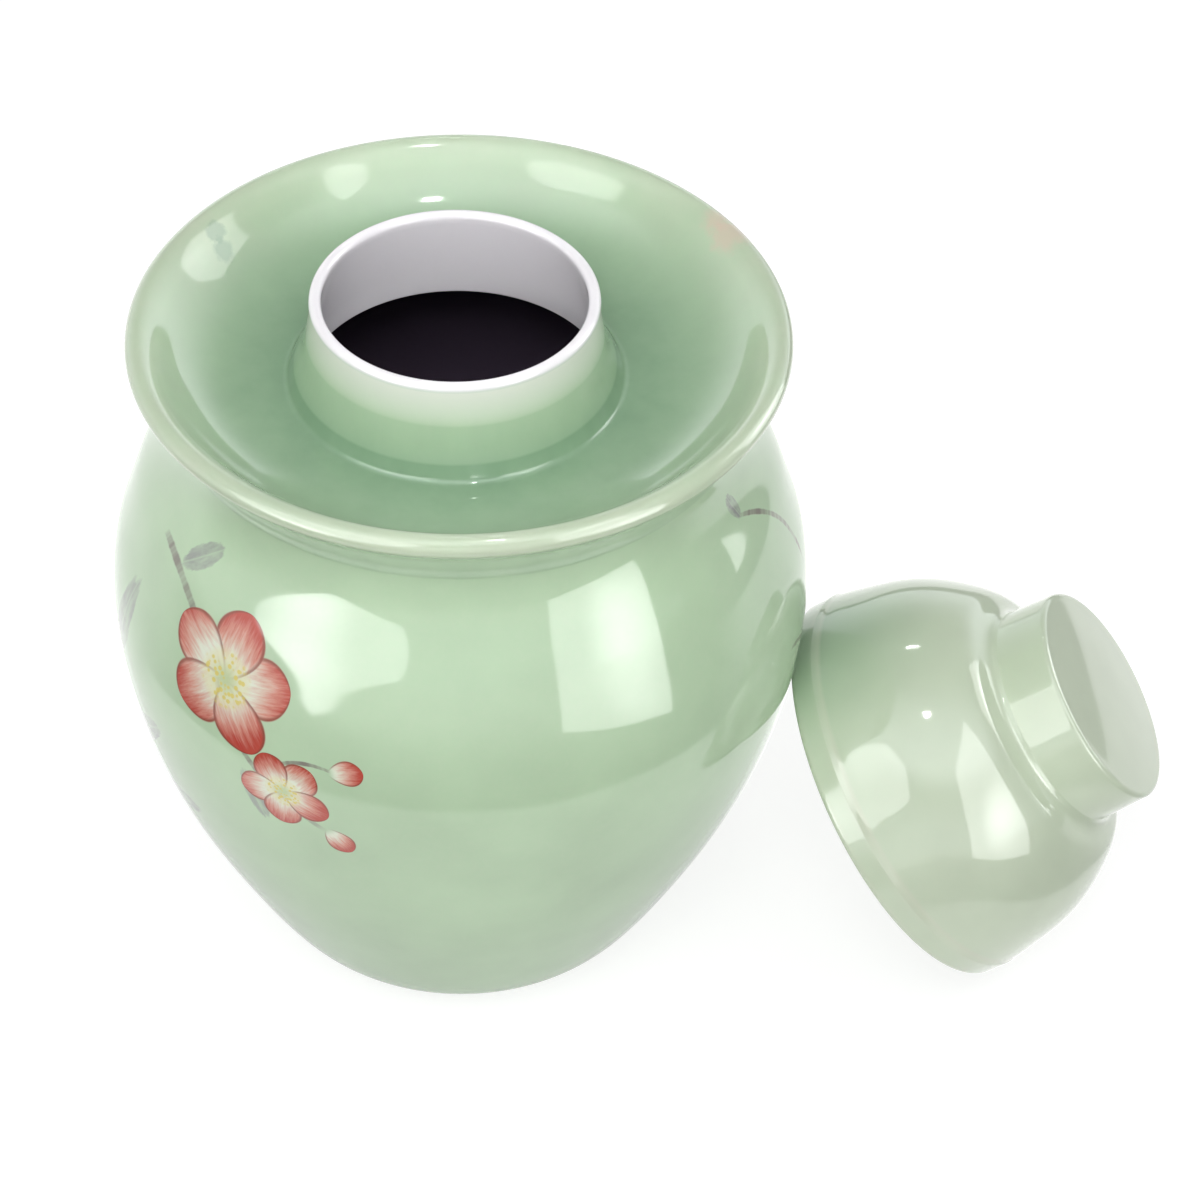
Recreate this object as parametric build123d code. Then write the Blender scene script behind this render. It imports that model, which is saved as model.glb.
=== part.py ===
"""Water seal pickle jar: a glazed pot with a moat round its neck, and the bowl-shaped lid that stands in it.

Millimetres, +Z up, origin on the floor at the centre of the jar's foot, +X from the jar to its lid.
The lid is off the jar, as photographed: it leans on the belly with the lowest point of its rim on the floor.
"""
import math
import os

from build123d import *

# Jar body: the thrown pot, measured to the crest of the moat's lip.
crest_height = 269.3
belly_radius = 124.2
belly_height = 164.0
waist_radius = 101.3
waist_height = 242.0
wall = 5.5
floor_thickness = 9.0
inner_floor_radius = 48.0

# Foot: a short turned ring with a shallow recess inside it.
foot_radius = 59.5
foot_height = 4.6
foot_ring_width = 6.0
foot_recess = 3.0
foot_edge = 1.2
foot_shoulder = 2.2

# Neck: a flared collar with a round lip, and a throat that opens under the moat.
neck_rise = 13.8
neck_lip_radius = 50.2
neck_lip_thickness = 4.3
throat_radius = 52.9
throat_drop = 26.3
throat_edge = 2.0

# Weld: the cove of clay where the neck meets the moat's floor.
weld_radius = 58.9
weld_taper = 2.7
weld_height = 5.2
weld_fillet = 2.8

# Moat: the water channel, and the rolled lip that holds the water in.
moat_depth = 21.3
moat_floor_thickness = 6.5
moat_ceiling_fall = 2.0
moat_ceiling_inset = 11.0
lip_width = 10.2
lip_depth = 9.7

# Lid: a turned-over bowl whose foot ring is the grip, heights measured from its rim.
seal_clearance = 11.4
finger_clearance = 29.9
lid_wall = 4.8
lid_height = 88.5
lid_rim_edge = 2.2
band_height = 9.6
band_step = 0.7
step_height = 2.4
bowl_height = 65.8
grip_radius = 41.3
grip_taper = 0.9
grip_edge = 2.0
grip_wall = 4.6
grip_recess = 3.4
recess_taper = 2.4
recess_dome = 2.4
recess_dome_share = 0.75
lid_ceiling = 6.5

# Rest pose of the lid: how far its axis stands above the floor, and its gap to the belly.
lid_lean_deg = 36.3
lean_gap = 0.3
lean_steps = 12

# Fair curves through a few points each, as (share across, share up) of the stretch that they cross.
lower_belly_shares = ((0.1, 0.028), (0.257, 0.102), (0.467, 0.252), (0.652, 0.401), (0.813, 0.56), (0.94, 0.74))
shoulder_shares = ((0.131, 0.244), (0.297, 0.397), (0.49, 0.551), (0.738, 0.705), (0.934, 0.859))
lip_shares = ((0.62, 0), (1, 0.58), (0.87, 0.88), (0.55, 1), (0.21, 0.91), (0, 0.67))
bowl_of_moat_shares = ((0.115, 0.21), (0.225, 0.41), (0.35, 0.6), (0.5, 0.78), (0.67, 0.91), (0.84, 0.98))
bowl_shares = ((0.05, 0.16), (0.13, 0.37), (0.23, 0.53), (0.37, 0.68), (0.54, 0.82), (0.77, 0.94))
neck_shares = ((0.42, 0.185), (0.75, 0.48))

# Worked out from the sizes above.
lid_rim_radius = weld_radius + seal_clearance + lid_wall
moat_radius = lid_rim_radius + finger_clearance
moat_floor_height = crest_height - moat_depth
neck_top_height = crest_height + neck_rise
band_radius = lid_rim_radius


def between(start, end, shares):
    """Points at the given shares of the way across and up from start to end."""
    return [(start[0] + (end[0] - start[0]) * across, start[1] + (end[1] - start[1]) * up) for across, up in shares]


def inset(points, distance):
    """The inner points of an outline moved square to it by a distance, towards the axis."""
    moved = []
    for before, here, after in zip(points, points[1:], points[2:]):
        run, rise = after[0] - before[0], after[1] - before[1]
        length = math.hypot(run, rise)
        moved.append((here[0] - distance * rise / length, here[1] + distance * run / length))
    return moved


def fair(*points, start, end):
    """A smooth curve through points that leaves and arrives in the given directions."""
    return Spline(*points, tangents=(Vector(*start).normalized(), Vector(*end).normalized()),
                  tangent_scalars=(1, 1))


def turned(*curves):
    """A solid of revolution about Z from the curves of a closed outline in (radius, height)."""
    outline = Wire(Curve() + [Plane.XZ * curve for curve in curves])
    return revolve(make_face(outline), Axis.Z)


def belly_outline():
    """Outer points of the pot, from the top of its foot to the waist under the moat."""
    foot_top = (foot_radius + foot_shoulder, foot_height)
    widest = (belly_radius, belly_height)
    waist = (waist_radius, waist_height)
    lower = between(foot_top, widest, lower_belly_shares)
    upper = between(widest, waist, shoulder_shares)
    return [foot_top, *lower, widest, *upper, waist]


def lip_outline():
    """Outer points of the rolled lip, from its underside over the crest to the moat's wall."""
    root = (moat_radius, crest_height - lip_depth)
    return between(root, (moat_radius + lip_width, crest_height), lip_shares)


def jar_body():
    """The pot in one piece: foot, belly, moat with its rolled lip, and neck."""
    belly = belly_outline()
    lip = lip_outline()
    foot_inner = foot_radius - foot_ring_width
    foot = Polyline((0, foot_recess), (foot_inner, foot_recess), (foot_inner, 0), (foot_radius, 0),
                    (foot_radius, foot_height), belly[0])
    outer = fair(*belly, start=(1, 1), end=(0, 1))
    under_lip = fair(belly[-1], lip[0], start=(0, 1), end=(1, 1))
    bead = fair(*lip, start=(1, 1), end=(-1, -1))

    moat_edge = (lid_rim_radius, moat_floor_height)
    moat_wall = fair(lip[-1], *between(lip[-1], moat_edge, bowl_of_moat_shares), moat_edge, start=(-1, -1),
                     end=(-1, 0))
    neck_base = (weld_radius - weld_taper, moat_floor_height + weld_height)
    neck_top = (neck_lip_radius, neck_top_height - neck_lip_thickness / 2)
    weld = FilletPolyline(moat_edge, (weld_radius, moat_floor_height), neck_base, radius=weld_fillet)
    neck_outer = fair(neck_base, *between(neck_base, neck_top, neck_shares), neck_top,
                      start=(-weld_taper, weld_height), end=(0, 1))
    mouth = (neck_lip_radius - neck_lip_thickness, neck_top[1])
    neck_lip = ThreePointArc(neck_top, ((neck_top[0] + mouth[0]) / 2, neck_top_height), mouth)

    ceiling_height = moat_floor_height - moat_floor_thickness
    throat = (throat_radius, crest_height - throat_drop)
    inner_points = [point for point in inset(belly, wall)[::-1] if point[1] < ceiling_height - moat_ceiling_inset]
    ceiling_end = (inner_points[0][0] - moat_ceiling_inset, ceiling_height - moat_ceiling_fall)
    under_moat = FilletPolyline(mouth, throat, (throat_radius + wall, ceiling_height), ceiling_end,
                                radius=throat_edge)
    inner = fair(ceiling_end, *inner_points, (inner_floor_radius, floor_thickness), start=(1, 0), end=(-1, 0))
    close = Polyline((inner_floor_radius, floor_thickness), (0, floor_thickness), (0, foot_recess))
    pot = turned(foot, outer, under_lip, bead, moat_wall, weld, neck_outer, neck_lip, under_moat, inner, close)
    foot_edges = pot.edges().filter_by(GeomType.CIRCLE).filter_by_position(Axis.Z, 0, foot_height, (True, False))
    return fillet(foot_edges, foot_edge)


def bowl_outline():
    """Outer points of the lid's bowl, from the step above its rim band to the root of the grip."""
    start = (band_radius - band_step, band_height + step_height)
    root = (grip_radius + grip_edge / 2, bowl_height)
    return [start, *between(start, root, bowl_shares), root]


def lid_in_place():
    """The lid about its own axis: rim on the XY plane, grip up."""
    bowl = bowl_outline()
    rim_inner = lid_rim_radius - lid_wall
    recess_floor = lid_height - grip_recess
    recess_radius = grip_radius - grip_taper - grip_wall
    band_top = (band_radius, band_height)
    rim = FilletPolyline((rim_inner, lid_wall), (rim_inner, 0), (lid_rim_radius, 0), band_top, bowl[0],
                         radius=lid_rim_edge)
    outer = fair(*bowl, start=(-1, 8), end=(-1, 1))
    hollow = (recess_radius - recess_taper, recess_floor)
    crown = (0, recess_floor + recess_dome)
    rise = between(hollow, crown, ((1 - recess_dome_share, recess_dome_share),))
    grip = FilletPolyline(bowl[-1], (grip_radius, bowl_height + grip_edge),
                          (grip_radius - grip_taper, lid_height), (recess_radius, lid_height), hollow,
                          radius=grip_edge)
    dome = fair(hollow, *rise, crown, start=(-recess_dome, recess_taper), end=(-1, 0))
    ceiling = recess_floor - lid_ceiling
    inner_points = [point for point in inset(bowl, lid_wall)[::-1] if point[1] < ceiling - lid_wall]
    inner = fair((0, ceiling), *inner_points, (rim_inner, lid_wall), start=(1, 0), end=(0, -1))
    return turned(rim, outer, grip, dome, Line(crown, (0, ceiling)), inner)


def lid_place():
    """Where the lid rests: its rim's lowest point on the floor, its highest a small gap off the belly."""
    lean = math.radians(lid_lean_deg)
    reach = lid_rim_radius - lid_rim_edge
    height = lid_rim_edge + reach * math.cos(lean) - lid_rim_edge * math.sin(lean)
    belly = fair(*belly_outline(), start=(1, 1), end=(0, 1))
    top = height + lid_rim_edge * math.sin(lean) + reach * math.cos(lean)
    across = belly_radius + reach
    for _ in range(lean_steps):
        rim_top = Vertex(across + lid_rim_edge * math.cos(lean) - reach * math.sin(lean), top, 0)
        across += lid_rim_edge + lean_gap - belly.distance_to(rim_top)
    return Location((across, 0, height), (0, 90 - lid_lean_deg, 0))


def main():
    os.makedirs("parts", exist_ok=True)
    pieces = {"jar_body": jar_body(), "lid": lid_place() * lid_in_place()}
    for name, piece in pieces.items():
        box = piece.bounding_box()
        print(name, "volume cm3", round(piece.volume / 1000, 1), "from", box.min, "to", box.max, piece.is_valid)
        export_step(piece, f"parts/{name}.step")
    print("lid rests at", lid_place())


main()
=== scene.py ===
"""Water seal pickle jar: its thrown and glazed surfaces, its painting, and the studio round it.

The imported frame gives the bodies. Lengths are metres and settings hold radians; the azimuths, turns and tilts
of the painting and the lamps are degrees. Azimuths run from +X towards +Y, so the camera is at about -86.
"""
import math

import bpy
import numpy as np
from bpy.props import FloatProperty, FloatVectorProperty, IntProperty, PointerProperty
from mathutils import Matrix, Vector


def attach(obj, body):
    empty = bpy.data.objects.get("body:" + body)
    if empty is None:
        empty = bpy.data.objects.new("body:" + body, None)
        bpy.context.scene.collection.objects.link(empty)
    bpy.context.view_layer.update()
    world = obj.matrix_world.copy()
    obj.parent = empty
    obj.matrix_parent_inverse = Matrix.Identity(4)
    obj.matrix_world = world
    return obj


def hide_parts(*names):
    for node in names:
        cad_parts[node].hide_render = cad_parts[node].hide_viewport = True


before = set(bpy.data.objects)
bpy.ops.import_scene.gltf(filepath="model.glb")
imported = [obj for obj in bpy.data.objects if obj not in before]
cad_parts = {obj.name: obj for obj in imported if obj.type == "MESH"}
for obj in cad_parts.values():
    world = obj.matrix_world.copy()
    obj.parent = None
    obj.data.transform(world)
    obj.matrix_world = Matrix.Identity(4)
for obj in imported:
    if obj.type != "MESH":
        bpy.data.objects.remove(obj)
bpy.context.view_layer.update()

bl_info = {
    "name": "Water seal pickle jar",
    "version": (1, 0, 0),
    "blender": (4, 5, 0),
    "location": "3D View > Sidebar > Pickle jar",
    "description": "Builds a celadon water seal pickle jar and its lid, with a painted spray and a studio",
    "category": "Object",
}

# Points closer than this are one point.
TOUCHING = 1e-6

# Fair curves through a few points each, as (share across, share up) of the stretch that they cross.
LOWER_BELLY = ((0.1, 0.028), (0.257, 0.102), (0.467, 0.252), (0.652, 0.401), (0.813, 0.56), (0.94, 0.74))
SHOULDER = ((0.131, 0.244), (0.297, 0.397), (0.49, 0.551), (0.738, 0.705), (0.934, 0.859))
LIP = ((0.62, 0.0), (1.0, 0.58), (0.88, 0.88), (0.61, 1.0), (0.36, 0.9))
BOWL_OF_MOAT = ((0.105, 0.21), (0.212, 0.41), (0.34, 0.6), (0.5, 0.78), (0.67, 0.91), (0.84, 0.98))
NECK = ((0.42, 0.185), (0.75, 0.48))
BOWL = ((0.05, 0.16), (0.13, 0.37), (0.23, 0.53), (0.37, 0.68), (0.54, 0.82), (0.77, 0.94))

# The moat's lip ends inside at this share of its depth under its crest, in this direction.
LIP_FALL = 0.45
LIP_END_WAY = (-1, -1.15)

# The potter's unevenness: the slope of the moat and neck to the back and how far the neck stands to the left,
# the height where both begin and grow over, and the radius where the neck's shift ends and fades over.
THROWN_LEAN, THROWN_SHIFT = 0.0115, 0.0015
THROWN_FROM, THROWN_OVER = 0.232, 0.02
NECK_WITHIN, NECK_FADE = 0.095, 0.03

# The grip's end: the share of its rise that lies at its edge, and its steps from there to the middle.
DOME_EDGE, DOME_STEPS = 0.1, 18

# The amounts that each ring of a pot carries for its glaze.
GLAZE_AMOUNTS = ("thin", "pooled", "pale", "white", "dark", "bare")

# Marks by the moat's lip: where, full within, gone beyond, strength and colour.
SPOTS = (((0.0915, 0.0610, 0.2675), 0.003, 0.011, 0.55, (0.74, 0.55, 0.46)),
         ((0.0868, 0.0690, 0.2675), 0.002, 0.008, 0.45, (0.74, 0.55, 0.46)),
         ((-0.0906, 0.0536, 0.2642), 0.003, 0.0052, 0.5, (0.22, 0.34, 0.25)),
         ((-0.0871, 0.0494, 0.2597), 0.003, 0.0055, 0.5, (0.22, 0.34, 0.25)))

# Painted shade and reflection on the lid beside the jar, in the deep green of thick glaze: where, full within,
# gone beyond and strength.
LID_POOL = ((0.124, 0.004, 0.125), 0.005, 0.06, 0.6)

# The heights between which the outside of the jar carries its painting.
PAINTED_FROM, PAINTED_TO = 0.055, 0.238

# What one brushed petal is told.
PETAL_INPUTS = ("Across", "Up", "Under", "Base across", "Base up", "Angle", "Length", "Half width", "Bend",
                "Redness")

# The petals of a blossom: length and half width as shares of its size, bend and redness.
BLOSSOM_PETALS = ((0.94, 0.4, 0.1, 0.04), (0.9, 0.4, -0.12, 0.14), (0.98, 0.38, 0.12, 0.0),
                  (0.92, 0.42, -0.1, 0.1), (0.96, 0.39, 0.08, 0.18))

# The edge of the pale sweep at the right: its direction from the jar, and where it begins and ends to darken.
TABLE_EDGE_WAY = (0.87, 0.5)
TABLE_EDGE_FADE = (0.7, 0.72)


def length(name, description, default):
    return FloatProperty(name=name, description=description, default=default, min=0, unit="LENGTH", precision=4)


def colour(name, description, default):
    return FloatVectorProperty(name=name, description=description, default=default, min=0, max=1, size=3,
                               subtype="COLOR")


class JarSizes(bpy.types.PropertyGroup):
    crest: length("Crest height", "Floor to the crest of the moat's lip", 0.2693)
    belly: length("Belly radius", "Radius of the belly at its widest", 0.1242)
    belly_height: length("Belly height", "Floor to the widest part of the belly", 0.164)
    waist: length("Waist radius", "Radius of the waist under the moat", 0.1013)
    waist_height: length("Waist height", "Floor to the waist", 0.242)
    wall: length("Wall", "Thickness of the pot's wall", 0.0055)
    floor: length("Floor thickness", "Floor to the inside of the base", 0.009)
    floor_radius: length("Floor radius", "Radius of the flat floor inside", 0.048)
    foot: length("Foot radius", "Outer radius of the foot ring", 0.0595)
    foot_height: length("Foot height", "Height of the foot ring", 0.0046)
    foot_width: length("Foot width", "Width of the foot ring", 0.006)
    foot_recess: length("Foot recess", "Depth of the recess inside the foot ring", 0.003)
    foot_shoulder: length("Foot shoulder", "How far the belly begins outside the foot ring", 0.0022)
    foot_edge: length("Foot edge", "How far the edges of the sole are cut off", 0.0006)
    neck_rise: length("Neck rise", "Crest of the moat's lip to the top of the neck", 0.0138)
    neck_lip: length("Neck lip radius", "Outer radius of the neck's lip", 0.0502)
    neck_lip_thickness: length("Neck lip thickness", "Width of the neck's round lip", 0.0043)
    throat: length("Throat radius", "Inner radius of the throat under the moat", 0.0529)
    throat_drop: length("Throat drop", "Crest of the moat's lip down to the throat", 0.0263)
    throat_edge: length("Throat rounding", "Rounding of the throat's edge", 0.002)
    weld: length("Weld radius", "Radius of the cove at the neck's foot", 0.0589)
    weld_taper: length("Weld taper", "How much the neck narrows over its cove", 0.0027)
    weld_height: length("Weld height", "Height of the cove above the moat's floor", 0.0052)
    weld_round: length("Weld rounding", "Rounding of the cove", 0.0028)
    moat_inner: length("Moat floor radius", "Radius at which the moat's floor begins to rise", 0.0751)
    moat_depth: length("Moat depth", "Crest of the lip to the moat's floor", 0.0213)
    moat: length("Moat radius", "Radius at which the lip ends and the moat's wall begins", 0.1050)
    moat_thickness: length("Moat thickness", "Clay under the moat's floor, at the throat", 0.0065)
    ceiling_fall: length("Ceiling fall", "How far the ceiling under the moat falls towards the belly", 0.002)
    ceiling_inset: length("Ceiling inset", "How far that ceiling ends short of the belly's wall", 0.011)
    lip_width: length("Lip width", "Width of the rolled lip", 0.0102)
    lip_depth: length("Lip depth", "Depth of the rolled lip", 0.0097)
    rings: IntProperty(name="Steps round", description="Faces round the pot", default=224, min=24)


class LidSizes(bpy.types.PropertyGroup):
    rim: length("Rim radius", "Outer radius of the lid's rim", 0.0751)
    wall: length("Wall", "Thickness of the lid's wall", 0.0048)
    height: length("Height", "Rim to the top of the grip", 0.0885)
    rim_edge: length("Rim rounding", "Rounding of the rim's edges", 0.0022)
    band: length("Band height", "Height of the straight band above the rim", 0.0096)
    band_step: length("Band step", "How far the bowl steps in above its band", 0.0007)
    step_height: length("Step height", "Height over which the bowl steps in", 0.0024)
    bowl: length("Bowl height", "Rim to the root of the grip", 0.0658)
    grip: length("Grip radius", "Outer radius of the grip ring at its root", 0.0413)
    grip_taper: length("Grip taper", "How much the grip ring narrows to its top", 0.0009)
    grip_edge: length("Grip rounding", "Rounding of the grip's edges", 0.002)
    edge_drop: length("Edge drop", "How far the edge of the grip's end lies under the lid's height", 0.0012)
    dome: length("Dome", "How far the grip's end rises from its edge to its middle", 0.0018)
    ceiling: length("Ceiling thickness", "Clay between the lid's height and its inside", 0.0099)
    rings: IntProperty(name="Steps round", description="Faces round the lid", default=256, min=24)
    lean: FloatProperty(name="Lean", description="Height of the lid's axis above the floor",
                        default=math.radians(36.3), subtype="ANGLE")
    place_x: length("Place", "From the jar's axis to the centre of the lid's rim", 0.163773)
    place_z: length("Height", "From the floor to the centre of the lid's rim", 0.0596497)


class GlazeColours(bpy.types.PropertyGroup):
    celadon: colour("Celadon", "The glaze at its usual thickness", (0.495, 0.665, 0.45))
    # Thick glaze, and also painted shade: in the moat, at the neck's foot and on the lid beside the jar.
    pooled: colour("Pooled glaze", "The glaze where it lies deep", (0.18, 0.31, 0.195))
    thin: colour("Thin glaze", "The body that shows where the glaze runs thin", (0.68, 0.66, 0.56))
    pale: colour("Pale glaze", "The glaze over white slip, near the mouth", (0.85, 0.88, 0.80))
    white: colour("White glaze", "The glaze of the neck's lip and throat", (0.97, 0.95, 0.98))
    # Painted shade: the jar's inside below the throat is coloured near black, darker than the light through the
    # mouth leaves it.
    dark: colour("Dark glaze", "The glaze inside the jar", (0.065, 0.048, 0.072))
    bare: colour("Bare clay", "The unglazed sole of the foot", (0.56, 0.50, 0.42))
    lid: colour("Lid celadon", "The lid's glaze, a little greyer than the jar's", (0.60, 0.69, 0.53))
    roughness: FloatProperty(name="Roughness", description="Roughness of the fired glaze", default=0.06, min=0,
                             max=1, subtype="FACTOR")


class PaintColours(bpy.types.PropertyGroup):
    tip: colour("Petal tips", "Iron red at the tips of the petals", (0.50, 0.05, 0.035))
    blush: colour("Petal blush", "Pink between the tips and the hearts of the petals", (0.68, 0.28, 0.22))
    heart: colour("Petal hearts", "Pale cream at the hearts of the petals", (0.80, 0.84, 0.70))
    outline: colour("Outline", "Brown red of the brushed outlines", (0.22, 0.045, 0.03))
    stamens: colour("Stamens", "Yellow of the stamens", (0.72, 0.60, 0.12))
    stem: colour("Stem", "Grey brown of the branches", (0.20, 0.15, 0.15))
    ink: colour("Ink", "Violet grey wash of the leaves", (0.25, 0.22, 0.26))


class StudioSettings(bpy.types.PropertyGroup):
    focal: FloatProperty(name="Focal length", description="Lens on a 36 mm sensor", default=150.2, min=1,
                         unit="CAMERA")
    camera_x: FloatProperty(name="Camera X", description="Camera's place to the right", default=0.10364,
                            unit="LENGTH")
    camera_y: FloatProperty(name="Camera Y", description="Camera's place to the back", default=-1.34270,
                            unit="LENGTH")
    camera_z: FloatProperty(name="Camera Z", description="Camera's height", default=1.35080, unit="LENGTH")
    pitch: FloatProperty(name="Pitch", description="How far the camera looks down", subtype="ANGLE",
                         default=math.radians(41.879))
    heading: FloatProperty(name="Heading", description="How far the camera turns to its left", subtype="ANGLE",
                           default=math.radians(2.280))
    roll: FloatProperty(name="Roll", description="How far the camera tips", subtype="ANGLE",
                        default=math.radians(1.065))
    fill: FloatProperty(name="Fill", description="Strength of the even light from all round", default=0.57,
                        min=0)
    table: length("Table radius", "How far the pale table top reaches from the jar's axis", 0.28)
    room: length("Room radius", "Where the mirrored room is at its brightest, from the jar's axis", 2.016)


class PickleJarSettings(bpy.types.PropertyGroup):
    jar: PointerProperty(type=JarSizes, name="Jar", description="Sizes of the jar")
    lid: PointerProperty(type=LidSizes, name="Lid", description="Sizes of the lid")
    glaze: PointerProperty(type=GlazeColours, name="Glaze", description="Colours of the glazes")
    paint: PointerProperty(type=PaintColours, name="Painting", description="Colours of the painting")
    studio: PointerProperty(type=StudioSettings, name="Studio", description="Camera, floor and light")


# Outlines

def between(start, end, shares):
    """Points at the given shares of the way across and up from start to end."""
    run, rise = end[0] - start[0], end[1] - start[1]
    return [(start[0] + run * across, start[1] + rise * up) for across, up in shares]


def inset(points, distance):
    """The inner points of an outline moved square to it by a distance, towards the axis."""
    moved = []
    for before, here, after in zip(points, points[1:], points[2:]):
        run, rise = after[0] - before[0], after[1] - before[1]
        size = math.hypot(run, rise)
        moved.append((here[0] - distance * rise / size, here[1] + distance * run / size))
    return moved


def fair(*points, start, end, step=0.002):
    """A smooth curve through points, in short steps, that leaves and arrives in the given directions."""
    points = np.array(points, float)
    chords = np.linalg.norm(np.diff(points, axis=0), axis=1)
    count = len(points)
    system, known = np.zeros((count, count)), np.zeros((count, 2))
    system[0, 0] = system[-1, -1] = 1
    known[0], known[-1] = Vector(start).normalized(), Vector(end).normalized()
    for i in range(1, count - 1):
        before, after = chords[i - 1], chords[i]
        system[i, i - 1:i + 2] = after, 2 * (before + after), before
        arriving, leaving = points[i] - points[i - 1], points[i + 1] - points[i]
        known[i] = 3 * (after * arriving / before + before * leaving / after)
    slopes = np.linalg.solve(system, known)
    out = [points[0]]
    for i, chord in enumerate(chords):
        steps = max(2, math.ceil(chord / step))
        for t in np.arange(1, steps + 1) / steps:
            out.append((2 * t ** 3 - 3 * t ** 2 + 1) * points[i] + (t ** 3 - 2 * t ** 2 + t) * chord * slopes[i]
                       + (3 * t ** 2 - 2 * t ** 3) * points[i + 1] + (t ** 3 - t ** 2) * chord * slopes[i + 1])
    return out


def rounded(*points, radius, step=0.0025, arc_steps=8):
    """A run of straight lines whose inner corners are rounded."""
    points = [Vector(p) for p in points]
    out = [points[0]]
    for before, corner, after in zip(points, points[1:], points[2:]):
        back, ahead = (before - corner).normalized(), (after - corner).normalized()
        half = back.angle(ahead) / 2
        reach = radius / math.tan(half)
        centre = corner + (back + ahead).normalized() * (radius / math.sin(half))
        first, last = corner + back * reach - centre, corner + ahead * reach - centre
        turn = math.atan2(first.x * last.y - first.y * last.x, first.dot(last))
        line_to(out, centre + first, step)
        for t in range(1, arc_steps + 1):
            angle = turn * t / arc_steps
            spin = Matrix(((math.cos(angle), -math.sin(angle)), (math.sin(angle), math.cos(angle))))
            out.append(centre + spin @ first)
    line_to(out, points[-1], step)
    return [tuple(p) for p in out]


def line_to(out, end, step):
    """Adds points at even steps from the last point of a list to an end."""
    start, end = Vector(out[-1]), Vector(end)
    steps = max(1, math.ceil((end - start).length / step))
    out.extend(start.lerp(end, t / steps) for t in range(1, steps + 1))


def arc_over(start, end, steps=10):
    """A half round from one point to another at the same height, over the top."""
    middle, reach = (start[0] + end[0]) / 2, (start[0] - end[0]) / 2
    angles = [math.pi * t / steps for t in range(steps + 1)]
    return [(middle + reach * math.cos(a), start[1] + abs(reach) * math.sin(a)) for a in angles]


class Section:
    """One stretch of an outline, the glaze amounts at its start and end, and how late these change."""

    def __init__(self, points, start=None, end=None, ease=1.0):
        self.points = [tuple(p) for p in points]
        self.start = start or {}
        self.end = self.start if end is None else end
        self.ease = ease


def joined(sections):
    """One list of outline points with their glaze amounts, the doubled points at the joins left out."""
    points, amounts = [], []
    for section in sections:
        path = np.array(section.points)
        along = np.r_[0, np.cumsum(np.linalg.norm(np.diff(path, axis=0), axis=1))]
        along = (along / max(along[-1], TOUCHING)) ** section.ease
        for point, share in zip(section.points, along):
            values = [section.start.get(k, 0) * (1 - share) + section.end.get(k, 0) * share
                      for k in GLAZE_AMOUNTS]
            if points and math.dist(points[-1], point) < TOUCHING:
                continue
            points.append(point)
            amounts.append(values)
    return points, amounts


def turned(name, sections, steps, place=None, wobble=None):
    """A mesh turned about Z from outline sections that start and end on the axis."""
    points, amounts = joined(sections)
    rows = [[] for _ in points]
    verts, values = [], []
    for row, (point, value) in enumerate(zip(points, amounts)):
        count = 1 if point[0] < TOUCHING else steps
        for i in range(count):
            angle = 2 * math.pi * i / steps
            rows[row].append(len(verts))
            spot = Vector((point[0] * math.cos(angle), point[0] * math.sin(angle), point[1]))
            verts.append(wobble(spot) if wobble else spot)
            values.append(value)
    faces = []
    for lower, upper in zip(rows, rows[1:]):
        for i in range(steps):
            j = (i + 1) % steps
            if len(lower) == 1:
                faces.append((lower[0], upper[j], upper[i]))
            elif len(upper) == 1:
                faces.append((lower[i], lower[j], upper[0]))
            else:
                faces.append((lower[i], lower[j], upper[j], upper[i]))
    mesh = bpy.data.meshes.new(name)
    mesh.from_pydata([tuple(place @ v) if place else tuple(v) for v in verts], [], faces)
    mesh.polygons.foreach_set("use_smooth", [True] * len(mesh.polygons))
    for k, amount in enumerate(GLAZE_AMOUNTS):
        layer = mesh.attributes.new(amount, "FLOAT", "POINT")
        layer.data.foreach_set("value", [v[k] for v in values])
    mesh.update()
    piece = bpy.data.objects.new(name, mesh)
    bpy.context.scene.collection.objects.link(piece)
    return piece


def as_thrown(place):
    """The potter's unevenness: the moat and neck lean a little, and the neck stands a little off centre."""
    height = min(1.0, max(0.0, (place.z - THROWN_FROM) / THROWN_OVER))
    near_neck = min(1.0, max(0.0, (NECK_WITHIN - math.hypot(place.x, place.y)) / NECK_FADE)) * height
    return Vector((place.x - THROWN_SHIFT * near_neck, place.y, place.z - THROWN_LEAN * place.y * height))


# Materials

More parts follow.
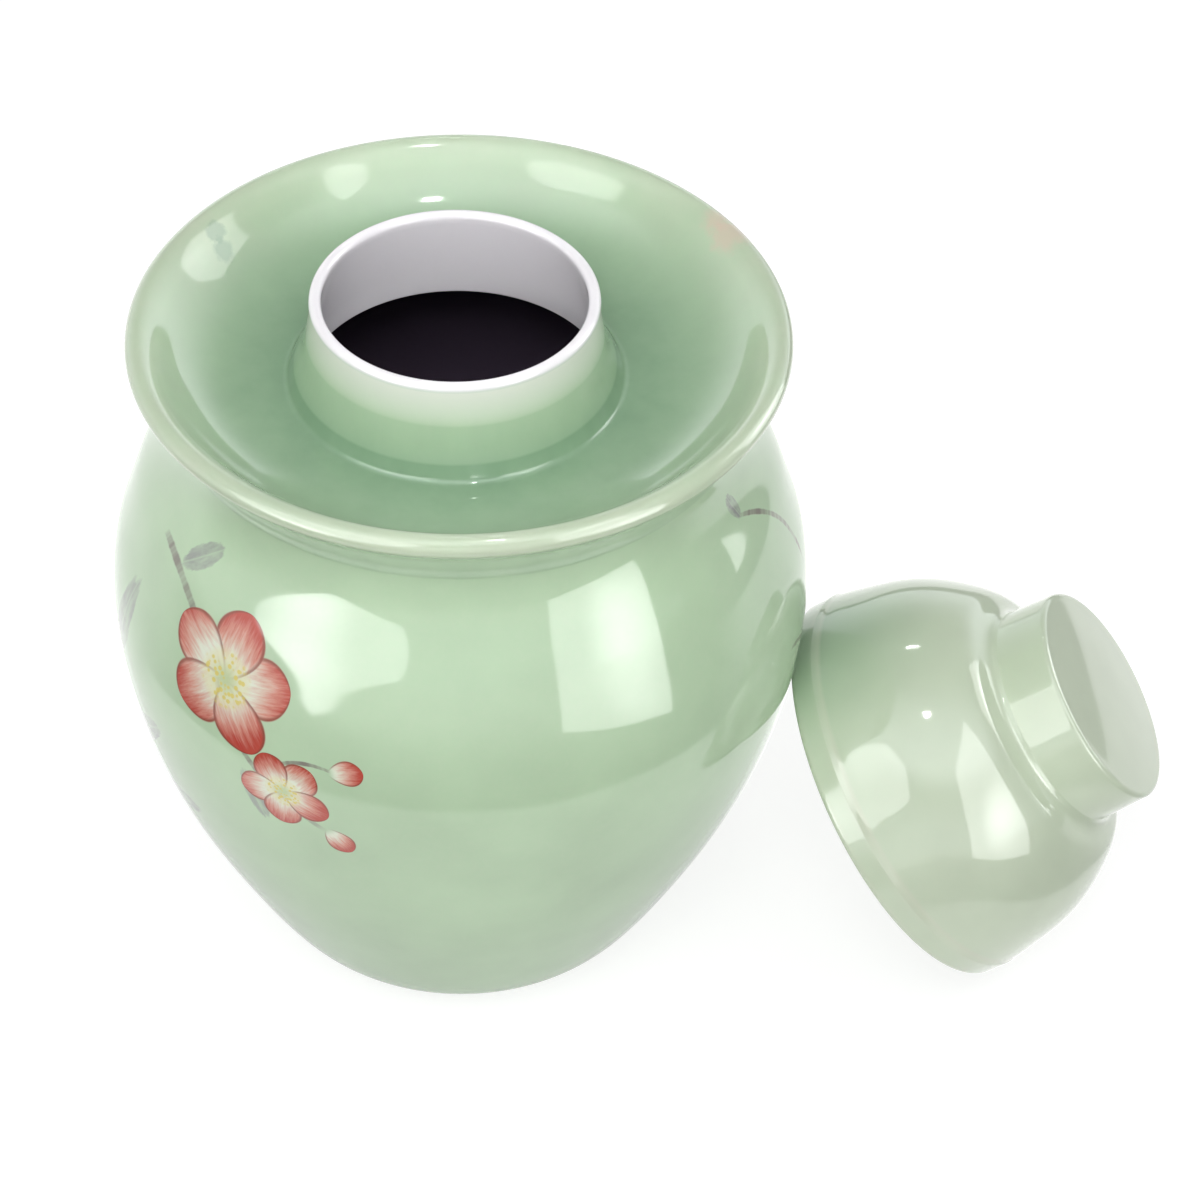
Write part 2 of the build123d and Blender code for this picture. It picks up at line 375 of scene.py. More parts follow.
class Graph:
    """Short ways to add shader nodes to a tree."""

    def __init__(self, tree):
        self.tree = tree

    def node(self, kind, inputs=None, **settings):
        made = self.tree.nodes.new(kind)
        for key, value in settings.items():
            setattr(made, key, value)
        for key, value in (inputs or {}).items():
            self.put(made.inputs[key], value)
        return made

    def put(self, socket, value):
        if isinstance(value, bpy.types.NodeSocket):
            self.tree.links.new(value, socket)
        elif hasattr(value, "__len__") and len(value) == 3 and socket.type == "RGBA":
            socket.default_value = (*value, 1)
        else:
            socket.default_value = value

    def math(self, operation, *values):
        return self.node("ShaderNodeMath", dict(enumerate(values)), operation=operation).outputs[0]

    def plus(self, first, second):
        return self.math("ADD", first, second)

    def minus(self, first, second):
        return self.math("SUBTRACT", first, second)

    def times(self, first, second):
        return self.math("MULTIPLY", first, second)

    def over(self, first, second):
        return self.math("DIVIDE", first, second)

    def clamped(self, value):
        """A value held between 0 and 1."""
        return self.math("MINIMUM", self.math("MAXIMUM", value, 0.0), 1.0)

    def ramp(self, value, low, high, smooth=True):
        """0 below low, 1 above high."""
        kind = "SMOOTHSTEP" if smooth else "LINEAR"
        return self.node("ShaderNodeMapRange", {"Value": value, "From Min": low, "From Max": high},
                         interpolation_type=kind).outputs["Result"]

    def fall(self, value, low, high):
        """1 below low, 0 above high."""
        return self.minus(1.0, self.ramp(value, low, high))

    def vector(self, x, y, z=0.0):
        return self.node("ShaderNodeCombineXYZ", {"X": x, "Y": y, "Z": z}).outputs[0]

    def split(self, vector):
        return self.node("ShaderNodeSeparateXYZ", {0: vector}).outputs

    def scaled(self, vector, scale):
        return self.node("ShaderNodeVectorMath", {0: vector, 1: scale}, operation="MULTIPLY").outputs[0]

    def size(self, vector):
        return self.node("ShaderNodeVectorMath", {0: vector}, operation="LENGTH").outputs["Value"]

    def distance(self, first, second):
        return self.node("ShaderNodeVectorMath", {0: first, 1: second}, operation="DISTANCE").outputs["Value"]

    def along_and_off(self, dx, dy, cosine, sine):
        """How far a point lies along a direction, and to its left."""
        along = self.plus(self.times(dx, cosine), self.times(dy, sine))
        return along, self.minus(self.times(dy, cosine), self.times(dx, sine))

    def mix(self, factor, first, second):
        made = self.node("ShaderNodeMix", data_type="RGBA")
        for index, value in ((0, factor), (6, first), (7, second)):
            self.put(made.inputs[index], value)
        return made.outputs[2]

    def noise(self, vector, scale, detail, rough):
        return self.node("ShaderNodeTexNoise", {"Vector": vector, "Scale": scale, "Detail": detail,
                                                "Roughness": rough}).outputs["Fac"]

    def amount(self, name):
        return self.node("ShaderNodeAttribute", attribute_name=name).outputs["Fac"]


def new_material(name):
    """A material, the graph of its nodes and its output node."""
    material = bpy.data.materials.new(name)
    material.use_nodes = True
    material.node_tree.nodes.clear()
    graph = Graph(material.node_tree)
    return material, graph, graph.node("ShaderNodeOutputMaterial")


def petal_group():
    """One brushed petal laid over what is under it: red at its tip, pale at its heart, with a dark outline."""
    name = "brushed_petal"
    if name in bpy.data.node_groups:
        return bpy.data.node_groups[name]
    paint = bpy.context.scene.pickle_jar.paint
    tree = bpy.data.node_groups.new(name, "ShaderNodeTree")
    for title in PETAL_INPUTS:
        kind = "NodeSocketColor" if title == "Under" else "NodeSocketFloat"
        tree.interface.new_socket(title, in_out="INPUT", socket_type=kind)
    tree.interface.new_socket("Colour", in_out="OUTPUT", socket_type="NodeSocketColor")
    g = Graph(tree)
    into, out = g.node("NodeGroupInput").outputs, g.node("NodeGroupOutput").inputs
    dx, dy = g.minus(into["Across"], into["Base across"]), g.minus(into["Up"], into["Base up"])
    cosine, sine = g.math("COSINE", into["Angle"]), g.math("SINE", into["Angle"])
    along, side = g.along_and_off(dx, dy, cosine, sine)
    along, side = g.over(along, into["Length"]), g.over(side, into["Half width"])
    share = g.clamped(along)
    side = g.minus(side, g.times(into["Bend"], g.times(share, share)))
    edge = g.math("SINE", g.times(g.math("POWER", share, 1.35), math.pi))
    off = g.math("ABSOLUTE", side)
    inside = g.minus(g.math("POWER", edge, 0.5), off)
    body = g.ramp(inside, 0.0, 0.07)
    line = g.times(g.ramp(inside, 0.0, 0.05), g.fall(inside, 0.08, 0.2))
    spot = g.vector(g.times(along, 2.2), g.times(side, 7.0), into["Angle"])
    streaks = g.noise(spot, 1.6, 3.0, 0.6)
    wet = g.plus(g.plus(share, g.times(g.minus(streaks, 0.5), 0.55)), g.times(off, 0.22))
    wet = g.plus(wet, into["Redness"])
    hue = g.mix(g.ramp(wet, 0.38, 0.92), paint.heart, paint.blush)
    hue = g.mix(g.ramp(wet, 0.78, 1.15), hue, paint.tip)
    hue = g.mix(g.times(line, 0.75), hue, paint.outline)
    cover = g.times(body, g.ramp(along, 0.02, 0.3))
    g.put(out["Colour"], g.mix(g.times(cover, 0.96), into["Under"], hue))
    return tree


def petal(g, across, up, under, base, turn, long, half, bend, red):
    """One petal over what is under it, from its base in the direction of its turn."""
    made = g.node("ShaderNodeGroup", node_tree=petal_group())
    values = (across, up, under, *base, math.radians(turn), long, half, bend, red)
    for title, value in zip(PETAL_INPUTS, values):
        g.put(made.inputs[title], value)
    return made.outputs["Colour"]


def stroke(g, across, up, under, start, end, rise, width, strength, hue):
    """A tapering brush stroke along a shallow arch, whose middle stands off the chord by its rise."""
    run, climb = end[0] - start[0], end[1] - start[1]
    chord = math.hypot(run, climb)
    dx, dy = g.minus(across, start[0]), g.minus(up, start[1])
    along, side = g.along_and_off(dx, dy, run / chord, climb / chord)
    along = g.over(along, chord)
    arch = g.times(g.times(along, g.minus(1.0, along)), 4 * rise)
    off = g.math("ABSOLUTE", g.minus(side, arch))
    brush = g.noise(g.vector(g.times(along, chord * 120), side, start[0] + end[1]), 1.0, 3.0, 0.65)
    half = g.times(g.plus(0.45, brush), width)
    ink = g.fall(off, g.times(half, 0.55), half)
    ends = g.times(g.ramp(along, 0.0, 0.04), g.fall(along, 0.9, 1.0))
    tone = g.times(g.times(ink, ends), g.times(g.ramp(brush, 0.2, 0.7), strength))
    return g.mix(tone, under, hue)


def wash_leaf(g, across, up, under, centre, radii, turn, strength, hue):
    """A leaf as one wet wash with a torn edge and a pale midrib."""
    angle = math.radians(turn)
    dx, dy = g.minus(across, centre[0]), g.minus(up, centre[1])
    along, side = g.along_and_off(dx, dy, math.cos(angle), math.sin(angle))
    along, side = g.over(along, radii[0]), g.over(side, radii[1])
    spot = g.vector(along, side, centre[0] * 40)
    reach = g.math("SQRT", g.plus(g.times(along, along), g.times(side, side)))
    torn = g.plus(reach, g.times(g.minus(g.noise(spot, 2.2, 4.0, 0.6), 0.5), 0.55))
    body = g.fall(torn, 0.84, 1.0)
    veins = g.plus(g.times(g.ramp(g.math("ABSOLUTE", side), 0.0, 0.12), 0.45), 0.55)
    wet = g.times(g.ramp(g.noise(spot, 1.3, 3.0, 0.55), 0.25, 0.75), 0.7)
    tone = g.times(g.times(body, veins), g.times(g.plus(wet, 0.3), strength))
    return g.mix(tone, under, hue)


def blossom(g, across, up, under, centre, size, tilt):
    """An open blossom seen from the front: round petals and a ring of stamens."""
    paint = bpy.context.scene.pickle_jar.paint
    for k, (long, half, bend, red) in enumerate(BLOSSOM_PETALS):
        turn = tilt + 360 * k / len(BLOSSOM_PETALS)
        under = petal(g, across, up, under, centre, turn, long * size, half * size, bend, red)
    spot = g.vector(g.over(g.minus(across, centre[0]), size), g.over(g.minus(up, centre[1]), size))
    anthers = g.node("ShaderNodeTexVoronoi", {"Vector": spot, "Scale": 13.0}).outputs["Distance"]
    dots, ring = g.fall(anthers, 0.3, 0.5), g.fall(g.size(spot), 0.3, 0.42)
    return g.mix(g.times(ring, g.plus(g.times(dots, 0.6), 0.25)), under, paint.stamens)


def painter(g, azimuth, radius):
    """Distances across from an azimuth and up from the floor, for painting on the belly."""
    place = g.node("ShaderNodeTexCoord").outputs["Object"]
    turn = {"Vector": place, "Angle": -math.radians(azimuth)}
    split = g.split(g.node("ShaderNodeVectorRotate", turn, rotation_type="Z_AXIS").outputs[0])
    return g.times(g.math("ARCTAN2", split["Y"], split["X"]), radius), split["Z"]


def spray(g, azimuth, radius, under, leaves, branches, blossoms, buds):
    """One spray on the belly, round a given azimuth: leaves, then branches, blossoms and buds over them.

    Leaves have a centre, half sizes, a turn and a strength; branches a start, an end, a rise and a width;
    blossoms a centre, a size and a tilt; buds a base, a turn and a length.
    """
    paint = bpy.context.scene.pickle_jar.paint
    across, up = painter(g, azimuth, radius)
    for centre, radii, turn, strength in leaves:
        under = wash_leaf(g, across, up, under, centre, radii, turn, strength, paint.ink)
    for start, end, rise, width in branches:
        under = stroke(g, across, up, under, start, end, rise, width, strength=0.85, hue=paint.stem)
    for centre, size, tilt in blossoms:
        under = blossom(g, across, up, under, centre, size, tilt)
    for base, turn, long in buds:
        under = petal(g, across, up, under, base, turn, long, half=long * 0.42, bend=0.0, red=0.15)
    return under


def blossom_painting(g, under):
    """The belly's painting: a hanging spray at the left, a bare twig at the right and a spray at the back."""
    under = spray(
        g, -124, 0.118, under,
        leaves=(((-0.072, 0.168), (0.024, 0.0065), 72, 0.8),
                ((-0.084, 0.142), (0.026, 0.007), 108, 0.8),
                ((-0.062, 0.124), (0.024, 0.006), 40, 0.8),
                ((-0.05, 0.1), (0.022, 0.0055), 18, 0.7),
                ((-0.034, 0.219), (0.013, 0.0045), 38, 0.7),
                ((0.006, 0.144), (0.012, 0.004), -70, 0.7)),
        branches=(((-0.06, 0.214), (-0.012, 0.186), 0.005, 0.0021),
                  ((-0.012, 0.186), (0.034, 0.138), -0.006, 0.0015),
                  ((0.014, 0.162), (0.036, 0.168), 0.003, 0.001)),
        blossoms=(((-0.008, 0.187), 0.029, 10), ((0.018, 0.152), 0.018, 50)),
        buds=(((0.034, 0.167), 15, 0.013), ((0.033, 0.14), -50, 0.013)))
    under = spray(
        g, -14, 0.112, under,
        leaves=(((-0.015, 0.2265), (0.0065, 0.0032), 115, 0.8), ((0.03, 0.118), (0.03, 0.011), 58, 0.7)),
        branches=(((-0.014, 0.222), (0.02, 0.176), 0.009, 0.0012),
                  ((-0.004, 0.158), (0.026, 0.13), 0.004, 0.0013)),
        blossoms=(), buds=())
    return spray(
        g, 152, 0.118, under,
        leaves=(((0.03, 0.12), (0.022, 0.006), -30, 0.6), ((0.0, 0.1), (0.022, 0.006), 35, 0.6)),
        branches=(((0.016, 0.082), (0.006, 0.17), 0.007, 0.0018),
                  ((0.012, 0.13), (-0.018, 0.15), 0.003, 0.0012)),
        blossoms=(((0.006, 0.176), 0.024, 25),),
        buds=(((-0.018, 0.15), 120, 0.014),))


def glaze(name, main, painted=False, deep=None, spots=()):
    """Fired glaze whose colour follows the amounts on the mesh, over the painting and under the marks, with
    painted shade and reflection round the point that deep gives.
    """
    colours = bpy.context.scene.pickle_jar.glaze
    material, g, output = new_material(name)
    place = g.node("ShaderNodeTexCoord").outputs["Object"]
    cloud = g.noise(place, 16.0, 3.0, 0.55)
    grain = g.noise(place, 420.0, 2.0, 0.6)
    runs = g.noise(g.scaled(place, (1.0, 1.0, 0.25)), 55.0, 3.0, 0.6)
    darker, lighter = [c * 0.92 for c in main], [min(1, c * 1.06) for c in main]
    hue = g.mix(g.ramp(cloud, 0.3, 0.7, smooth=False), darker, lighter)
    hue = g.mix(g.times(g.ramp(grain, 0.35, 0.75), 0.05), hue, colours.thin)
    if painted:
        hue = blossom_painting(g, hue)
    # Painted shade and reflection round a point, in the deep green of thick glaze.
    if deep:
        centre, inner, outer, strength = deep
        hue = g.mix(g.times(g.fall(g.distance(place, centre), inner, outer), strength), hue, colours.pooled)
    for amount, unevenness, start in (("pooled", 0.26, 0.12), ("thin", 0.3, 0.15)):
        uneven = g.plus(g.amount(amount), g.times(g.minus(runs, 0.5), unevenness))
        uneven = g.times(uneven, g.ramp(g.amount(amount), 0.0, start))
        hue = g.mix(g.clamped(uneven), hue, getattr(colours, amount))
    for centre, inner, outer, strength, mark in spots:
        torn = g.times(g.minus(g.noise(place, 260.0, 3.0, 0.6), 0.5), outer * 0.9)
        ragged = g.plus(g.distance(place, centre), torn)
        hue = g.mix(g.times(g.fall(ragged, inner, outer), strength), hue, mark)
    for amount in ("pale", "white", "dark", "bare"):
        hue = g.mix(g.amount(amount), hue, getattr(colours, amount))
    rough = g.plus(colours.roughness, g.times(grain, 0.02))
    rough = g.plus(rough, g.times(g.amount("bare"), 0.7))
    waves = g.plus(g.noise(place, 34.0, 1.0, 0.4), g.times(grain, 0.004))
    bump = g.node("ShaderNodeBump", {"Height": waves, "Strength": 0.25, "Distance": 0.0006}).outputs[0]
    shader = g.node("ShaderNodeBsdfPrincipled", {"Base Color": hue, "Roughness": rough, "Normal": bump,
                                                 "IOR": 1.5})
    g.put(output.inputs["Surface"], shader.outputs[0])
    return material


# Pieces

def show_instead(piece, node, body):
    """Gives a piece its body, and shows it in place of a node of the frame."""
    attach(piece, body)
    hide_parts(node)


class PICKLEJAR_OT_jar(bpy.types.Operator):
    """Throw the pot: foot, belly, moat with its rolled lip, neck, and its inside coloured near black as painted
    shade
    """
    bl_idname = "pickle_jar.jar"
    bl_label = "Jar"

    def execute(self, context):
        jar = context.scene.pickle_jar.jar
        colours = context.scene.pickle_jar.glaze
        foot_top = (jar.foot + jar.foot_shoulder, jar.foot_height)
        widest, waist = (jar.belly, jar.belly_height), (jar.waist, jar.waist_height)
        belly = [foot_top, *between(foot_top, widest, LOWER_BELLY),
                 widest, *between(widest, waist, SHOULDER), waist]
        lip_root = (jar.moat, jar.crest - jar.lip_depth)
        lip_end = (jar.moat, jar.crest - jar.lip_depth * LIP_FALL)
        lip = [*between(lip_root, (jar.moat + jar.lip_width, jar.crest), LIP), lip_end]
        foot_inner, sole = jar.foot - jar.foot_width, jar.foot_edge
        moat_floor = jar.crest - jar.moat_depth
        moat_edge = (jar.moat_inner, moat_floor)
        neck_top = jar.crest + jar.neck_rise
        neck_base = (jar.weld - jar.weld_taper, moat_floor + jar.weld_height)
        lip_side = (jar.neck_lip, neck_top - jar.neck_lip_thickness / 2)
        mouth = (jar.neck_lip - jar.neck_lip_thickness, lip_side[1])
        ceiling = moat_floor - jar.moat_thickness
        inner = [p for p in inset(belly, jar.wall)[::-1] if p[1] < ceiling - jar.ceiling_inset]
        ceiling_end = (inner[0][0] - jar.ceiling_inset, ceiling - jar.ceiling_fall)
        floor_edge = (jar.floor_radius, jar.floor)
        throat = (jar.throat, jar.crest - jar.throat_drop)
        neck = fair(neck_base, *between(neck_base, lip_side, NECK), lip_side,
                    start=(-jar.weld_taper, jar.weld_height), end=(0, 1), step=0.001)
        halfway = len(neck) // 2
        bare, celadon, pooled, dark = {"bare": 1}, {}, {"pooled": 0.66}, {"dark": 1}
        sections = [
            Section(rounded((0, jar.foot_recess), (foot_inner, jar.foot_recess), (foot_inner, sole),
                            radius=0.0012), celadon),
            Section(rounded((foot_inner, sole), (foot_inner + sole, 0), (jar.foot - sole, 0), (jar.foot, sole),
                            radius=0.0004, arc_steps=3), bare),
            Section(rounded((jar.foot, sole), (jar.foot, jar.foot_height), foot_top, radius=0.0009), celadon,
                    {"pooled": 0.3}),
            Section(fair(*belly, start=(1, 1), end=(0, 1)), celadon),
            Section(fair(belly[-1], lip[0], start=(0, 1), end=(1, 1), step=0.001), {"pooled": 0.22}, celadon),
            Section(fair(*lip, start=(1, 1), end=LIP_END_WAY, step=0.0006), {"thin": 0.45}, {"thin": 0.2}),
            # Deep green down the moat's bowl, over its floor and round the neck's foot: glaze lying thick there,
            # and painted shade in the moat as well.
            Section(fair(lip_end, *between(lip_end, moat_edge, BOWL_OF_MOAT), moat_edge, start=LIP_END_WAY,
                         end=(-1, 0)), {"thin": 0.2}, pooled, 0.8),
            Section(rounded(moat_edge, (jar.weld, moat_floor), neck_base, radius=jar.weld_round, step=0.001),
                    pooled, {"pooled": 0.85}),
            Section(neck[:halfway + 1], {"pooled": 0.7}, {"pooled": 0.15}, 0.75),
            Section(neck[halfway:-1], {"pooled": 0.12}, {"pale": 1}, 0.65),
            Section(neck[-2:], {"pale": 1}, {"white": 0.8}),
            Section(arc_over(lip_side, mouth), {"white": 1}),
            Section(rounded(mouth, throat, (jar.throat + jar.wall, ceiling), radius=jar.throat_edge),
                    {"white": 1}),
            # Painted shade: from under the throat down, the inside is near black.
            Section([(jar.throat + jar.wall, ceiling), ceiling_end], dark),
            Section(fair(ceiling_end, *inner, floor_edge, start=(1, 0), end=(-1, 0), step=0.004), dark),
            Section([floor_edge, (jar.floor_radius / 2, jar.floor), (0, jar.floor)], dark),
        ]
        piece = turned("jar_glazed", sections, jar.rings, wobble=as_thrown)
        piece.data.materials.append(glaze("celadon_glaze", colours.celadon, spots=SPOTS))
        piece.data.materials.append(glaze("painted_celadon", colours.celadon, painted=True))
        for face in piece.data.polygons:
            x, y, z = face.center
            if PAINTED_FROM < z < PAINTED_TO and math.hypot(x, y) > jar.foot + jar.wall * 2:
                face.material_index = 1
        show_instead(piece, "jar_body", "jar")
        return {"FINISHED"}


class PICKLEJAR_OT_lid(bpy.types.Operator):
    """Throw the lid: rim band, bowl, grip ring and the hollow under it, leaned where the frame has it"""
    bl_idname = "pickle_jar.lid"
    bl_label = "Lid"

    def execute(self, context):
        lid = context.scene.pickle_jar.lid
        colours = context.scene.pickle_jar.glaze
        start = (lid.rim - lid.band_step, lid.band + lid.step_height)
        root = (lid.grip + lid.grip_edge / 2, lid.bowl)
        bowl = [start, *between(start, root, BOWL), root]
        rim_inner, ceiling = lid.rim - lid.wall, lid.height - lid.ceiling
        inner = [p for p in inset(bowl, lid.wall)[::-1] if p[1] < ceiling - lid.wall]
        grip_end = lid.grip - lid.grip_taper
        edge = lid.height - lid.edge_drop
        shoulder = (grip_end - lid.grip_edge * 2, edge + lid.dome * DOME_EDGE)
        outwards = [1 - t / DOME_STEPS for t in range(DOME_STEPS + 1)]
        dome = [(shoulder[0] * s, edge + lid.dome * (1 - (1 - DOME_EDGE) * s ** 2)) for s in outwards]
        inside = fair((0, ceiling), *inner, (rim_inner, lid.wall), start=(1, 0), end=(0, -1), step=0.004)
        sections = [
            Section([(0, ceiling), *inside[1:]]),
            Section(rounded((rim_inner, lid.wall), (rim_inner, 0), (lid.rim, 0), (lid.rim, lid.band / 2),
                            radius=lid.rim_edge, step=0.001), {"thin": 0.5}, {"thin": 0.0}),
            Section(rounded((lid.rim, lid.band / 2), (lid.rim, lid.band), bowl[0],
                            radius=lid.rim_edge, step=0.001), {}, {"thin": 0.3}, 2.0),
            Section(fair(*bowl, start=(-1, 8), end=(-1, 1))),
            Section(rounded(bowl[-1], (lid.grip, lid.bowl + lid.grip_edge), (grip_end, edge), shoulder,
                            radius=lid.grip_edge, step=0.001)),
            Section(dome),
        ]
        lean = Matrix.Rotation(math.pi / 2 - lid.lean, 4, "Y")
        place = Matrix.Translation((lid.place_x, 0, lid.place_z)) @ lean
        piece = turned("lid_glazed", sections, lid.rings, place)
        piece.data.materials.append(glaze("lid_celadon", colours.lid, deep=LID_POOL))
        show_instead(piece, "lid", "lid")
        return {"FINISHED"}


class PICKLEJAR_OT_studio(bpy.types.Operator):
    """Set up the floor, the world, the lamps and the camera"""
    bl_idname = "pickle_jar.studio"
    bl_label = "Studio"

    def execute(self, context):
        studio = context.scene.pickle_jar.studio
        table_top(studio)
        studio_world(studio)
        lamps()
        camera(studio)
        context.scene.view_settings.view_transform = "Standard"
        return {"FINISHED"}


# Studio

def by_ray(g, lit, mirrored, seen):
    """One shader out of three: for the light it gives, for its mirror image in gloss and for the camera."""
    rays = g.node("ShaderNodeLightPath").outputs
    first = g.node("ShaderNodeMixShader", {0: rays["Is Glossy Ray"], 1: lit, 2: mirrored}).outputs[0]
    straight = g.math("MAXIMUM", rays["Is Camera Ray"], rays["Is Transmission Ray"])
    return g.node("ShaderNodeMixShader", {0: straight, 1: first, 2: seen}).outputs[0]


def table_top(studio):
    """A pale table top, white to the camera, whose gloss shows the table's edge and the room beyond it."""
    reach = 12.0
    mesh = bpy.data.meshes.new("table_top")
    mesh.from_pydata([(-reach, -reach, 0), (reach, -reach, 0), (reach, reach, 0), (-reach, reach, 0)], [],
                     [(0, 1, 2, 3)])
    top = bpy.data.objects.new("table_top", mesh)
    bpy.context.scene.collection.objects.link(top)
    material, g, output = new_material("pale_table")
    place = g.node("ShaderNodeNewGeometry").outputs["Position"]
    away, split = g.size(g.scaled(place, (1, 1, 0))), g.split(place)

    # The table near the jar, darker where the jar shades it.
    shaded = g.plus(0.45, g.times(g.ramp(away, studio.table * 0.2, studio.table * 0.8), 0.4))
    near = g.times(g.fall(away, studio.table, studio.table + 0.02), shaded)

    # The pale sweep behind it, dimmer past its edge at the right.
    back = g.ramp(split["Y"], -0.12, 0.12)
    beyond = g.plus(g.times(split["X"], TABLE_EDGE_WAY[0]), g.times(split["Y"], TABLE_EDGE_WAY[1]))
    sweep = g.times(back, g.minus(1.0, g.times(g.ramp(beyond, *TABLE_EDGE_FADE), 0.75)))

    # The room in front, which brightens away from the table and is dark at the right.
    right = g.ramp(g.plus(split["X"], split["Y"]), -0.1, 0.5)
    room = g.times(g.ramp(away, studio.table, studio.room, smooth=False), 1.6)
    room = g.times(g.times(room, g.minus(1.0, back)), g.minus(1.0, right))

    shine = g.plus(g.plus(g.times(g.math("MAXIMUM", near, sweep), 1.35), room), 0.12)
    plain = g.node("ShaderNodeBsdfDiffuse", {"Color": (0.82, 0.82, 0.82)}).outputs[0]
    pale = g.node("ShaderNodeBsdfDiffuse", {"Color": (0.3, 0.3, 0.3)}).outputs[0]
    white = g.node("ShaderNodeEmission", {"Strength": 0.82}).outputs[0]
    seen = g.node("ShaderNodeAddShader", {0: pale, 1: white}).outputs[0]
    mirrored = g.node("ShaderNodeEmission", {"Strength": shine}).outputs[0]
    g.put(output.inputs["Surface"], by_ray(g, plain, mirrored, seen))
    mesh.materials.append(material)


def studio_world(studio):
    """A world that is white to the camera, lights evenly and shows a room in the gloss."""
    world = bpy.data.worlds.new("studio_world")
    world.use_nodes = True
    world.node_tree.nodes.clear()
    g = Graph(world.node_tree)
    split = g.split(g.node("ShaderNodeTexCoord").outputs["Generated"])

    # The walls, with a dark gap at the right front and a brighter stretch at the right back.
    walls = g.times(g.fall(split["Z"], 0.1, 0.65), 1.5)
    gap = g.times(g.ramp(split["X"], 0.75, 0.95), g.fall(split["Y"], 0.1, 0.35))
    walls = g.times(walls, g.minus(1.0, g.times(gap, 0.75)))
    side = g.times(g.times(g.ramp(split["X"], 0.1, 0.7), g.ramp(split["Y"], -0.1, 0.3)), 0.9)
    walls = g.plus(walls, g.times(side, g.fall(split["Z"], 0.5, 0.85)))

    # The ceiling over the camera's side.
    ceiling = g.times(g.times(g.ramp(split["Z"], 0.5, 0.8), g.fall(split["Y"], -0.5, 0.3)), 3.3)

    room = g.plus(g.plus(walls, ceiling), 0.3)
    gloss = g.node("ShaderNodeBackground", {"Color": (0.93, 0.97, 1.0), "Strength": room}).outputs[0]
    fill = g.node("ShaderNodeBackground", {"Color": (1.0, 1.0, 1.0), "Strength": studio.fill}).outputs[0]
    white = g.node("ShaderNodeBackground", {"Color": (1.0, 1.0, 1.0), "Strength": 1.0}).outputs[0]
    g.put(g.node("ShaderNodeOutputWorld").inputs["Surface"], by_ray(g, fill, gloss, white))
    bpy.context.scene.world = world


def in_octagon(g, across_lamp):
    """1 within the octagon that fits a lamp, 0 in its corners."""
    split = g.split(across_lamp)
    a, b = (g.math("ABSOLUTE", g.minus(split[k], 0.5)) for k in "XY")
    corner = math.pi / 8
    far = [g.plus(g.times(a, math.cos(t)), g.times(b, math.sin(t))) for t in (corner, math.pi / 2 - corner)]
    edge = math.cos(corner) / 2
    return g.fall(g.math("MAXIMUM", *far), edge * 0.97, edge)


def lamp(name, azimuth, distance, height, size, radiance, mirrored, hot=None, aim=None, octagon=False,
         spread=180.0):
    """A flat soft light that faces a point. Mirrored ones show only in the gloss, others only light.

    hot gives how much brighter its core is, where that lies and how wide it is.
    """
    data = bpy.data.lights.new(name, "AREA")
    data.shape = "RECTANGLE"
    data.size, data.size_y = size
    data.energy = radiance * math.pi * size[0] * size[1]
    data.spread = math.radians(spread)
    piece = bpy.data.objects.new(name, data)
    bpy.context.scene.collection.objects.link(piece)
    turn = math.radians(azimuth)
    piece.location = (distance * math.cos(turn), distance * math.sin(turn), height)
    way = Vector(aim or (0, 0, height)) - piece.location
    piece.rotation_mode = "QUATERNION"
    piece.rotation_quaternion = way.to_track_quat("-Z", "Y")
    piece.visible_glossy = mirrored
    piece.visible_diffuse = not mirrored
    piece.visible_camera = False
    if hot:
        data.use_nodes = True
        g = Graph(data.node_tree)
        data.node_tree.nodes.clear()
        geometry = g.node("ShaderNodeNewGeometry").outputs
        extra, core, core_size = hot
        glow = g.fall(g.distance(geometry["Position"], core), 0.0, core_size)
        strength = g.plus(1.0, g.times(glow, extra))
        if octagon:
            strength = g.times(strength, in_octagon(g, geometry["Parametric"]))
        emission = g.node("ShaderNodeEmission", {"Strength": strength}).outputs[0]
        g.put(g.node("ShaderNodeOutputLight").inputs["Surface"], emission)


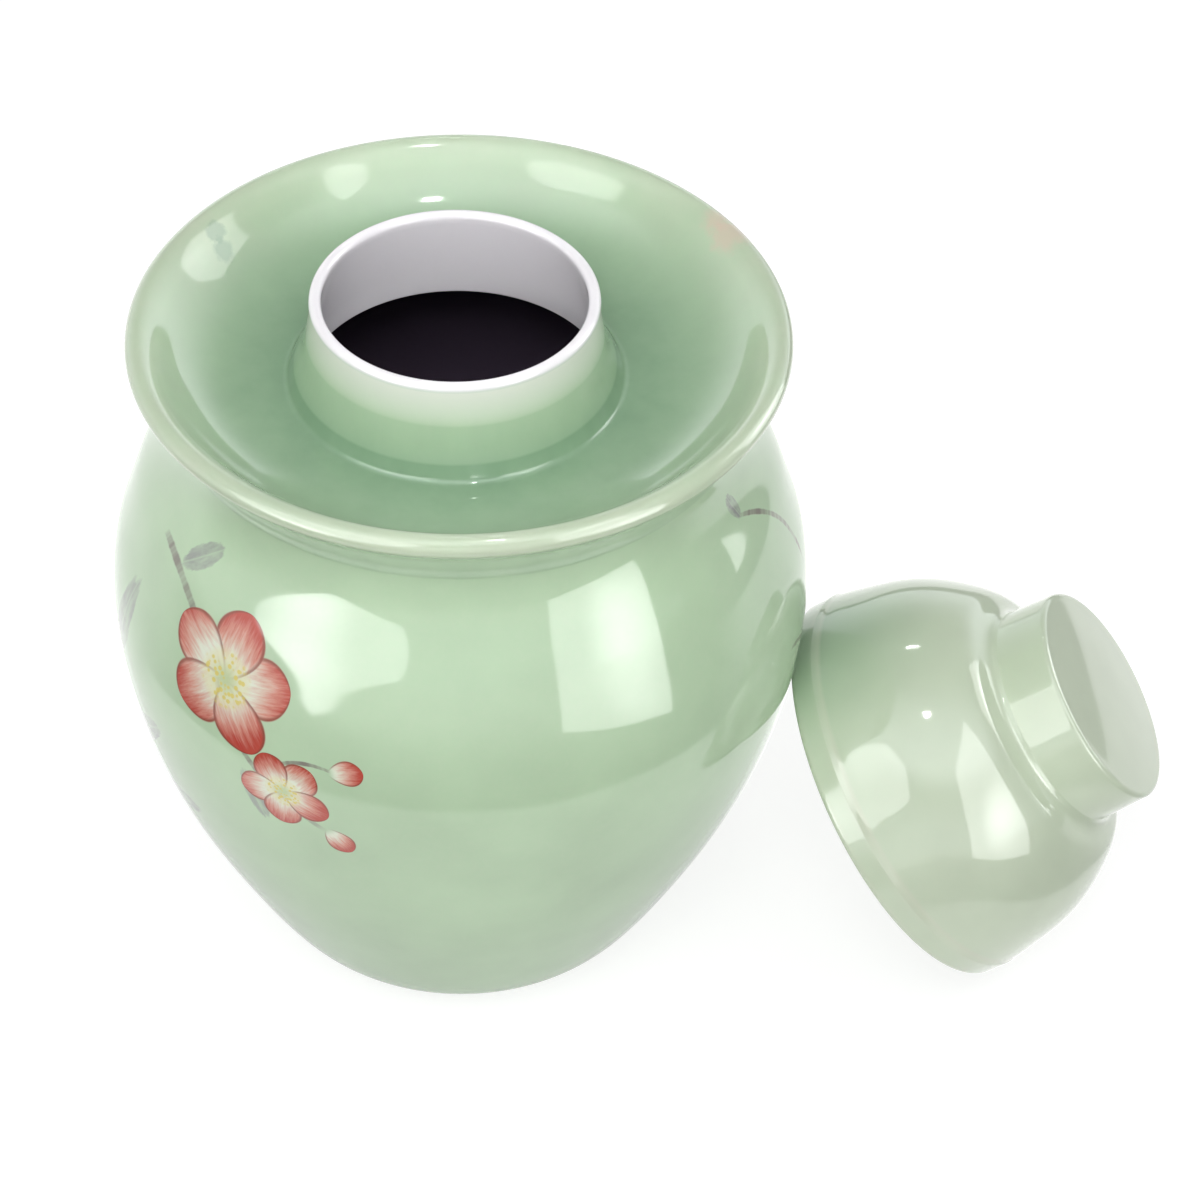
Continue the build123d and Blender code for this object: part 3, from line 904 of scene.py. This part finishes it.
def lamps():
    """What the gloss mirrors: two tall soft boxes in front, a third at the right, a strip behind and a small one
    above. What lights the pieces: soft light from the left, the right and above, and some more for the mouth."""
    lamp("left_box", -128.6, 1.06, 0.78, (1.38, 1.56), 4.3, True, hot=(1.4, (-0.75, -0.75, 0.2), 0.4),
         octagon=True)
    lamp("right_box", -46.7, 0.783, 0.52, (0.66, 1.1), 4.4, True, hot=(1.3, (0.53, -0.38, 0.22), 0.26),
         aim=(0.04, -0.626, 0.52))
    lamp("side_box", 22, 0.95, 0.5, (0.42, 0.9), 3.6, True, hot=(1.9, (0.88, 0.36, 0.5), 0.2))
    lamp("back_strip", 93, 1.1, 1.75, (0.2, 0.04), 50.0, True, aim=(0, 0, 0.25))
    lamp("top_spot", -60, 0.34, 1.6, (0.075, 0.075), 150.0, True, aim=(0.1, 0, 0.13))
    lamp("left_light", -125, 1.6, 1.5, (1.2, 1.2), 0.6, False, aim=(0, 0, 0.15))
    lamp("right_light", -40, 1.6, 1.5, (1.2, 1.2), 0.45, False, aim=(0, 0, 0.15))
    lamp("mouth_light", -88, 0.95, 1.2, (0.15, 0.15), 0.21, False, aim=(0, 0.02, 0.27), spread=12.0)
    lamp("top_light", -90, 1.0, 1.45, (0.6, 0.6), 7.8, False, aim=(0, 0, 0.25))


def camera(studio):
    """The camera that was fitted to the photograph."""
    data = bpy.data.cameras.new("studio_camera")
    data.sensor_width = 36
    data.lens = studio.focal
    data.clip_start, data.clip_end = 0.05, 60
    piece = bpy.data.objects.new("studio_camera", data)
    bpy.context.scene.collection.objects.link(piece)
    turn = (Matrix.Rotation(studio.heading, 4, "Z") @ Matrix.Rotation(math.pi / 2 - studio.pitch, 4, "X")
            @ Matrix.Rotation(studio.roll, 4, "Z"))
    piece.matrix_world = Matrix.Translation((studio.camera_x, studio.camera_y, studio.camera_z)) @ turn
    bpy.context.scene.camera = piece


class PICKLEJAR_PT_panel(bpy.types.Panel):
    bl_label = "Water seal pickle jar"
    bl_idname = "PICKLEJAR_PT_panel"
    bl_space_type = "VIEW_3D"
    bl_region_type = "UI"
    bl_category = "Pickle jar"

    def draw(self, context):
        settings = context.scene.pickle_jar
        for operator in OPERATORS:
            self.layout.operator(operator.bl_idname)
        for group in (settings.jar, settings.lid, settings.glaze, settings.paint, settings.studio):
            box = self.layout.box()
            for name in group.__annotations__:
                box.prop(group, name)


OPERATORS = (PICKLEJAR_OT_jar, PICKLEJAR_OT_lid, PICKLEJAR_OT_studio)
CLASSES = (JarSizes, LidSizes, GlazeColours, PaintColours, StudioSettings, PickleJarSettings, *OPERATORS,
           PICKLEJAR_PT_panel)


def register():
    for cls in CLASSES:
        bpy.utils.register_class(cls)
    bpy.types.Scene.pickle_jar = PointerProperty(type=PickleJarSettings)


def unregister():
    del bpy.types.Scene.pickle_jar
    for cls in reversed(CLASSES):
        bpy.utils.unregister_class(cls)


def main():
    register()
    for operator in OPERATORS:
        group, name = operator.bl_idname.split(".")
        if getattr(getattr(bpy.ops, group), name)() != {"FINISHED"}:
            raise RuntimeError(f"{operator.bl_label} was not built")
    bpy.context.view_layer.update()
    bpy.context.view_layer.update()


if __name__ == "__main__":
    main()
